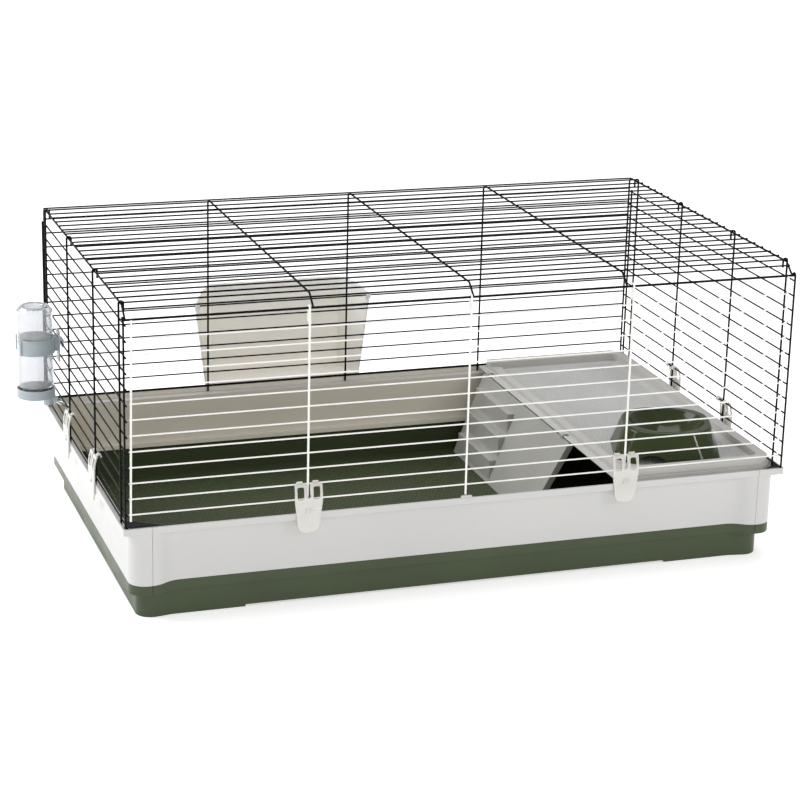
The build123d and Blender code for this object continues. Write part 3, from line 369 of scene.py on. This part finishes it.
def ladder_look():
    """Milky grey plastic, with fine lines on its upward faces."""
    look = moulded("ladder_grey", 0.38, clear=0.30)
    look.tint(LADDER_GREY, 0.07)
    lines = look.math("MULTIPLY", look.wave(TREAD_LINE_PITCH, "Y"), look.turned_up())
    look.patterned_grain(lines, 0.4, TREAD_LINE_DEPTH, scale=850.0, edge=0.0009)
    return look.material


def bowl_look():
    """Glossy dark olive plastic, nearly smooth."""
    look = moulded("bowl_green", 0.13, gloss=0.30)
    look.tint(BOWL_GREEN, 0.10)
    look.grain(400.0, depth=FINE_GRAIN_DEPTH, edge=0.0012)
    return look.material


def rack_look():
    """Beige-taupe satin plastic, slightly see-through at its thin walls, with painted light making it
    lighter upwards.
    """
    look = moulded("rack_taupe", 0.42, clear=0.85)
    look.grain(900.0)
    # painted light: lighter towards the top, painted shade towards the bottom
    rise = look.ranged(look.height(), 0.0, 1.0, *RACK_LIGHT_RISE)
    look.feed("Base Color", look.drift(rise, RACK_TAUPE, 0.93, 1.08, 0.0, 1.0))
    return look.material


def bottle_look():
    """Clear blown plastic with faint waviness in its wall, with painted shade darkening its outline.
    """
    look = Look("bottle_clear")
    # painted shade: the base colour darkens towards the outline by viewing angle
    edge = look.add("ShaderNodeLayerWeight")
    edge.inputs["Blend"].default_value = 0.35
    look.feed("Base Color", look.tones(edge.outputs["Facing"], BOTTLE_CLEAR, BOTTLE_OUTLINE_SHADE, 0.25, 0.85))
    look.feed("Roughness", look.ranged(look.noise(35.0), 0.02, 0.08))
    waves = look.stretched_noise(30.0, (1.0, 1.0, 0.25))
    look.feed("Normal", look.bump(waves, 0.25, BOTTLE_WAVE_DEPTH))
    look.fix("Transmission Weight", 0.82)
    look.fix("IOR", BOTTLE_IOR)
    look.fix("Coat Weight", 0.7)
    look.fix("Coat Roughness", 0.06)
    return look.material


def drinker_look():
    """Grey-blue satin plastic of the bottle's ring and cap."""
    look = moulded("drinker_grey", 0.28, clear=0.25)
    look.tint(DRINKER_GREY, 0.04)
    look.grain(700.0, edge=0.0006)
    return look.material


def rubber_look():
    """Dull black rubber of the cap's washer."""
    look = moulded("washer_rubber", 0.65)
    look.tint(WASHER_BLACK, 0.2)
    look.grain(1200.0, edge=0.0003)
    return look.material


def steel_look(name, colour, roughness, scale):
    """Drawn or polished stainless steel with fine lines along X."""
    look = Look(name)
    look.feed("Base Color", look.drift(look.noise(90.0), colour, 0.9, 1.06))
    lines = look.stretched_noise(scale, (0.06, 1.0, 1.0))
    look.feed("Roughness", look.ranged(lines, roughness - 0.05, roughness + 0.10))
    look.feed("Normal", look.bump(lines, 0.25, GRAIN_DEPTH))
    look.fix("Metallic", 1.0)
    return look.material


def dress(names, material):
    """Gives CAD nodes a material."""
    for name in names:
        mesh = nodes[name].data
        mesh.materials.clear()
        mesh.materials.append(material)


# ---- Relief pieces ----
def plan_limits(node, start, end):
    """A node's extent along X and Y, less a margin at each end."""
    low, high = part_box(node)
    return [(low[axis] + start[axis], high[axis] - end[axis]) for axis in (0, 1)]


def rib_outline(start, end, width, inset):
    """Corners of a rib's rectangle along X, drawn in by an inset all round."""
    side = width / 2
    return [(start + inset, -side + inset), (end - inset, -side + inset),
            (end - inset, side - inset), (start + inset, side - inset)]


def rib_field(name, material, limits, z, pitch, size):
    """Staggered rows of short, low, bevelled ribs between X and Y limits, standing on height z."""
    x, y = limits
    length, width, rise = size
    mesh = bpy.data.meshes.new(name)
    form = bmesh.new()
    step = length * RIB_STEP
    rows = int((y[1] - y[0]) / pitch)
    columns = int((x[1] - x[0]) / step) - 1
    for row in range(rows):
        centre_y = y[0] + (row + 0.5) * pitch
        shift = step / 2 if row % 2 else 0.0
        for column in range(columns):
            start = x[0] + shift + column * step
            foot = rib_outline(start, start + length, width, 0.0)
            top = rib_outline(start, start + length, width, width * RIB_BEVEL)
            low = [form.verts.new((px, centre_y + py, z)) for px, py in foot]
            high = [form.verts.new((px, centre_y + py, z + rise)) for px, py in top]
            form.faces.new(high)
            form.faces.new(low[::-1])
            for index in range(len(low)):
                after = (index + 1) % len(low)
                form.faces.new((low[index], low[after], high[after], high[index]))
    form.to_mesh(mesh)
    form.free()
    mesh.materials.append(material)
    piece = bpy.data.objects.new(name, mesh)
    bpy.context.scene.collection.objects.link(piece)
    return piece


# ---- Making the stage ----
def make_floor():
    bpy.ops.mesh.primitive_plane_add(size=FLOOR_SIDE, location=(0, 0, -FLOOR_DROP))
    floor = bpy.context.object
    floor.name = "studio_floor"
    look = Look("floor_pale")
    look.feed("Base Color", look.drift(look.noise(0.6), FLOOR_PALE, 0.995, 1.0))
    look.fix("Roughness", 0.9)
    look.fix("Emission Color", STUDIO_WHITE)
    look.fix("Emission Strength", FLOOR_GLOW)
    floor.data.materials.append(look.material)


def area_light(name, at, target, size, watts):
    lamp = bpy.data.lights.new(name, "AREA")
    lamp.shape = "RECTANGLE"
    lamp.size, lamp.size_y = size
    lamp.energy = watts
    lamp_object = bpy.data.objects.new(name, lamp)
    bpy.context.scene.collection.objects.link(lamp_object)
    lamp_object.location = at
    lamp_object.rotation_euler = (Vector(target) - Vector(at)).to_track_quat("-Z", "Y").to_euler()


def light_stage():
    world = bpy.data.worlds.new("studio_air")
    world.use_nodes = True
    background = world.node_tree.nodes["Background"]
    background.inputs["Color"].default_value = STUDIO_WHITE
    background.inputs["Strength"].default_value = AIR_STRENGTH
    bpy.context.scene.world = world
    area_light("key_left", at=(-3.2, 1.2, 2.5), target=CAGE_MIDDLE, size=(2.4, 1.8), watts=90.0)
    area_light("top_soft", at=(0.4, 0.8, 3.4), target=CAGE_MIDDLE, size=(2.6, 1.6), watts=42.0)
    area_light("window_left", at=(-0.7, -2.9, 1.35), target=WINDOW_AIM, size=WINDOW_SIZE, watts=5.0)
    area_light("window_right", at=(1.7, -2.5, 1.30), target=WINDOW_AIM, size=WINDOW_SIZE, watts=10.0)


def place_camera():
    """Puts the camera at its place, turned by yaw, pitch and roll, with no lens shift."""
    yaw = radians(CAMERA_YAW)
    pitch = radians(CAMERA_PITCH)
    roll = radians(CAMERA_ROLL)
    forward = Vector((sin(yaw) * cos(pitch), cos(yaw) * cos(pitch), sin(pitch)))
    level_right = Vector((cos(yaw), -sin(yaw), 0.0))
    level_up = level_right.cross(forward)
    right = cos(roll) * level_right + sin(roll) * level_up
    up = cos(roll) * level_up - sin(roll) * level_right
    data = bpy.data.cameras.new("camera")
    data.sensor_width = CAMERA_SENSOR
    data.lens = CAMERA_LENS
    data.clip_end = CAMERA_REACH
    camera = bpy.data.objects.new("camera", data)
    bpy.context.scene.collection.objects.link(camera)
    turn = Matrix((right, up, -forward)).transposed().to_4x4()
    camera.matrix_world = Matrix.Translation(CAMERA_AT) @ turn
    bpy.context.scene.camera = camera


# ---- Build ----
tray_material = tray_look()
platform_material = platform_look()
clip_names = [name for name in nodes if name.startswith("clip_")]
dress(["tray"], tray_material)
dress(["wall_front", "wall_back", "wall_left", "wall_right"], wall_look())
dress(["roof_grille", "back_grille", "side_grille_left", "side_grille_right"],
      wire_look("wire_black", WIRE_BLACK, 0.42, 0.2, 0.12))
dress(["front_door"], wire_look("wire_ivory", WIRE_IVORY, 0.34, 0.03, 0.5))
dress(clip_names, clip_look())
dress(["platform"], platform_material)
dress(["ladder"], ladder_look())
dress(["bowl"], bowl_look())
dress(["hay_rack"], rack_look())
dress(["bottle"], bottle_look())
dress(["bottle_holder", "bottle_cap"], drinker_look())
dress(["cap_washer"], rubber_look())
dress(["drinking_tube"], steel_look("tube_steel", TUBE_STEEL, 0.22, 260.0))
dress(["valve_ball"], steel_look("ball_steel", BALL_STEEL, 0.10, 60.0))

tray_limits = plan_limits("tray", TRAY_FLOOR_MARGIN, TRAY_FLOOR_MARGIN)
tray_ribs = rib_field("tray_floor_ribs", tray_material, tray_limits, TRAY_FLOOR_Z,
                      TRAY_RIB_PITCH, TRAY_RIB_SIZE)
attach(tray_ribs, "cage")
platform_limits = plan_limits("platform", PLATFORM_FLOOR_START, PLATFORM_FLOOR_END)
platform_ribs = rib_field("platform_floor_ribs", platform_material, platform_limits, PLATFORM_FLOOR_Z,
                          PLATFORM_RIB_PITCH, PLATFORM_RIB_SIZE)
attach(platform_ribs, "platform")

make_floor()
light_stage()
place_camera()
bpy.context.scene.view_settings.view_transform = "Standard"
